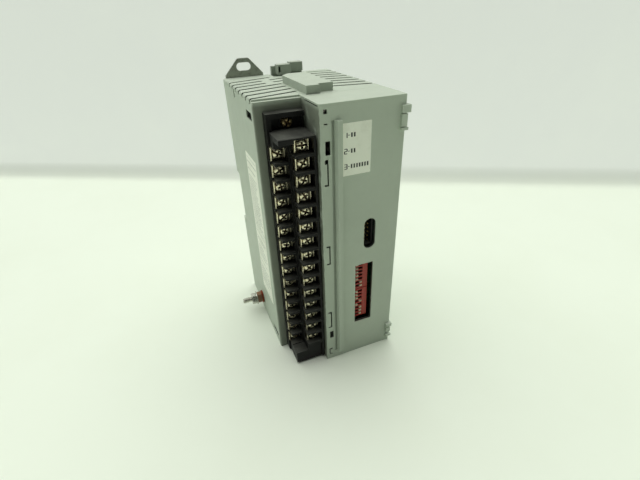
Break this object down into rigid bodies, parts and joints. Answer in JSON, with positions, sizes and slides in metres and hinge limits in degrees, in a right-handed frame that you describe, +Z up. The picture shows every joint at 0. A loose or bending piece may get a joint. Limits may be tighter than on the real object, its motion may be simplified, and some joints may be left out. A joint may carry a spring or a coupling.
{
  "type": "plc module",
  "caption": "Block-shaped programmable controller input/output module with a vented housing, screw terminal strip, option switches, ground stud and rail latch.",
  "frame": {"origin": "centre of the bottom face, which stands on the surface", "axes": "+Z up along the height, front with the terminals and switches faces -Y, +Y is the mounting back, +X to the right seen from the front"},
  "size_m": [0.0854, 0.1004, 0.169],
  "materials": {
    "case_plastic": "fine moulded texture, cool grey-green",
    "black_plastic": "moulded black, dusty",
    "nickel_screw": "nickel plated, slightly yellow",
    "nickel_plate": "nickel plated",
    "contact_metal": "tinned brass",
    "zinc_steel": "zinc plated",
    "copper_washer": "dark copper",
    "red_plastic": "red moulding",
    "slider_plastic": "cream moulding",
    "board": "green solder mask",
    "socket_plastic": "black moulding",
    "pin_metal": "gold flashed",
    "board_rail_plastic": "grey moulding",
    "transformer_body": "varnished core and coil",
    "capacitor_can": "sleeved can",
    "relay_case": "pale case",
    "tab_steel": "plated sheet steel",
    "latch_plastic": "grey-green moulding",
    "label_paper": "printed label stock"
  },
  "bodies": {
    "module": {"rear_housing": "case_plastic", "front_cover": "case_plastic", "terminal_strip": "black_plastic", "terminal_screws_outer": "nickel_screw", "terminal_screws_inner": "nickel_screw", "clamp_plates_outer": "nickel_plate", "clamp_plates_inner": "nickel_plate", "contacts_outer": "contact_metal", "contacts_inner": "contact_metal", "captive_screw": "zinc_steel", "switch_bank_upper": "red_plastic", "switch_bank_lower": "red_plastic", "switch_board": "board", "board_screws": "zinc_steel", "service_socket": "socket_plastic", "service_pins": "pin_metal", "main_board": "board", "board_rails": "board_rail_plastic", "board_link": "socket_plastic", "transformer": "transformer_body", "capacitors": "capacitor_can", "relays": "relay_case", "terminal_board": "board", "terminal_header": "socket_plastic", "upper_tab": "tab_steel", "lower_tab": "tab_steel", "tab_screws": "zinc_steel", "ground_stud": "zinc_steel", "ground_spacer": "copper_washer", "ground_nut_inner": "zinc_steel", "ground_washer": "zinc_steel", "ground_nut_outer": "zinc_steel", "front_label": "label_paper", "side_label": "label_paper"},
    "latch": {"rail_latch": "latch_plastic"},
    "slider_upper_1_body": {"slider_upper_1": "slider_plastic"},
    "slider_upper_2_body": {"slider_upper_2": "slider_plastic"},
    "slider_upper_3_body": {"slider_upper_3": "slider_plastic"},
    "slider_upper_4_body": {"slider_upper_4": "slider_plastic"},
    "slider_upper_5_body": {"slider_upper_5": "slider_plastic"},
    "slider_upper_6_body": {"slider_upper_6": "slider_plastic"},
    "slider_upper_7_body": {"slider_upper_7": "slider_plastic"},
    "slider_upper_8_body": {"slider_upper_8": "slider_plastic"},
    "slider_lower_1_body": {"slider_lower_1": "slider_plastic"},
    "slider_lower_2_body": {"slider_lower_2": "slider_plastic"},
    "slider_lower_3_body": {"slider_lower_3": "slider_plastic"},
    "slider_lower_4_body": {"slider_lower_4": "slider_plastic"},
    "slider_lower_5_body": {"slider_lower_5": "slider_plastic"},
    "slider_lower_6_body": {"slider_lower_6": "slider_plastic"},
    "slider_lower_7_body": {"slider_lower_7": "slider_plastic"},
    "slider_lower_8_body": {"slider_lower_8": "slider_plastic"}
  },
  "joints": [
    {"name": "rail_latch_slide", "type": "slide", "parent": "module", "child": "latch", "axis": [0, 0, 1], "range_m": [0, 0.004], "stiffness_N_per_m": 1200, "springref_m": -0.004},
    {"name": "slider_upper_1_slide", "type": "slide", "parent": "module", "child": "slider_upper_1_body", "axis": [1, 0, 0], "range_m": [0, 0.0026]},
    {"name": "slider_upper_2_slide", "type": "slide", "parent": "module", "child": "slider_upper_2_body", "axis": [1, 0, 0], "range_m": [0, 0.0026]},
    {"name": "slider_upper_3_slide", "type": "slide", "parent": "module", "child": "slider_upper_3_body", "axis": [1, 0, 0], "range_m": [0, 0.0026]},
    {"name": "slider_upper_4_slide", "type": "slide", "parent": "module", "child": "slider_upper_4_body", "axis": [1, 0, 0], "range_m": [0, 0.0026]},
    {"name": "slider_upper_5_slide", "type": "slide", "parent": "module", "child": "slider_upper_5_body", "axis": [1, 0, 0], "range_m": [0, 0.0026]},
    {"name": "slider_upper_6_slide", "type": "slide", "parent": "module", "child": "slider_upper_6_body", "axis": [1, 0, 0], "range_m": [0, 0.0026]},
    {"name": "slider_upper_7_slide", "type": "slide", "parent": "module", "child": "slider_upper_7_body", "axis": [1, 0, 0], "range_m": [-0.0026, 0]},
    {"name": "slider_upper_8_slide", "type": "slide", "parent": "module", "child": "slider_upper_8_body", "axis": [1, 0, 0], "range_m": [-0.0026, 0]},
    {"name": "slider_lower_1_slide", "type": "slide", "parent": "module", "child": "slider_lower_1_body", "axis": [1, 0, 0], "range_m": [0, 0.0026]},
    {"name": "slider_lower_2_slide", "type": "slide", "parent": "module", "child": "slider_lower_2_body", "axis": [1, 0, 0], "range_m": [0, 0.0026]},
    {"name": "slider_lower_3_slide", "type": "slide", "parent": "module", "child": "slider_lower_3_body", "axis": [1, 0, 0], "range_m": [0, 0.0026]},
    {"name": "slider_lower_4_slide", "type": "slide", "parent": "module", "child": "slider_lower_4_body", "axis": [1, 0, 0], "range_m": [-0.0026, 0]},
    {"name": "slider_lower_5_slide", "type": "slide", "parent": "module", "child": "slider_lower_5_body", "axis": [1, 0, 0], "range_m": [0, 0.0026]},
    {"name": "slider_lower_6_slide", "type": "slide", "parent": "module", "child": "slider_lower_6_body", "axis": [1, 0, 0], "range_m": [-0.0026, 0]},
    {"name": "slider_lower_7_slide", "type": "slide", "parent": "module", "child": "slider_lower_7_body", "axis": [1, 0, 0], "range_m": [-0.0026, 0]},
    {"name": "slider_lower_8_slide", "type": "slide", "parent": "module", "child": "slider_lower_8_body", "axis": [1, 0, 0], "range_m": [-0.0026, 0]}
  ]
}
